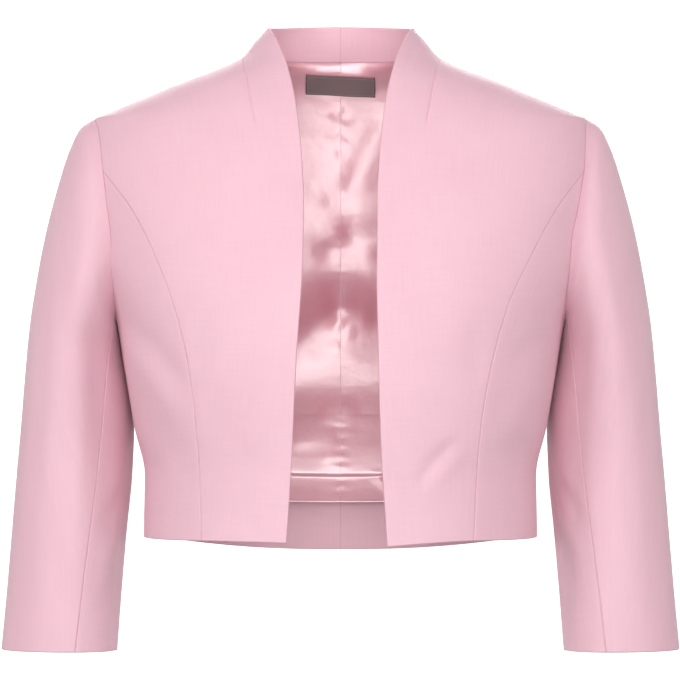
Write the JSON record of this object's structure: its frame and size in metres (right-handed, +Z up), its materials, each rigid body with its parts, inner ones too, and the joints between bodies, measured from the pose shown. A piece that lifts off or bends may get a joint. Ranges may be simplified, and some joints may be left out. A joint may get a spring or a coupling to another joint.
{
  "type": "cropped open-front blazer, filled out as worn",
  "caption": "Cropped, collarless blazer with an open front, a low stand cut in one with the fronts, and three-quarter sleeves, filled out as worn.",
  "frame": {"origin": "midway between the two points where the shoulder seams meet the neck seam", "axes": "+Z up, the fronts face -Y, +X towards the wearer's left"},
  "size_m": [0.5682, 0.2245, 0.5266],
  "materials": {
    "face_cloth": "fine, matt suiting weave, pale pink",
    "lining": "glossy satin lining, dusty pink",
    "label": "woven satin label, dark taupe, blank"
  },
  "bodies": {
    "root": {"front_left": "face_cloth", "front_right": "face_cloth", "side_front_left": "face_cloth", "side_front_right": "face_cloth", "back_left": "face_cloth", "back_right": "face_cloth", "top_sleeve_left": "face_cloth", "top_sleeve_right": "face_cloth", "under_sleeve_left": "face_cloth", "under_sleeve_right": "face_cloth", "back_lining_left": "lining", "back_lining_right": "lining", "label": "label"}
  },
  "joints": []
}
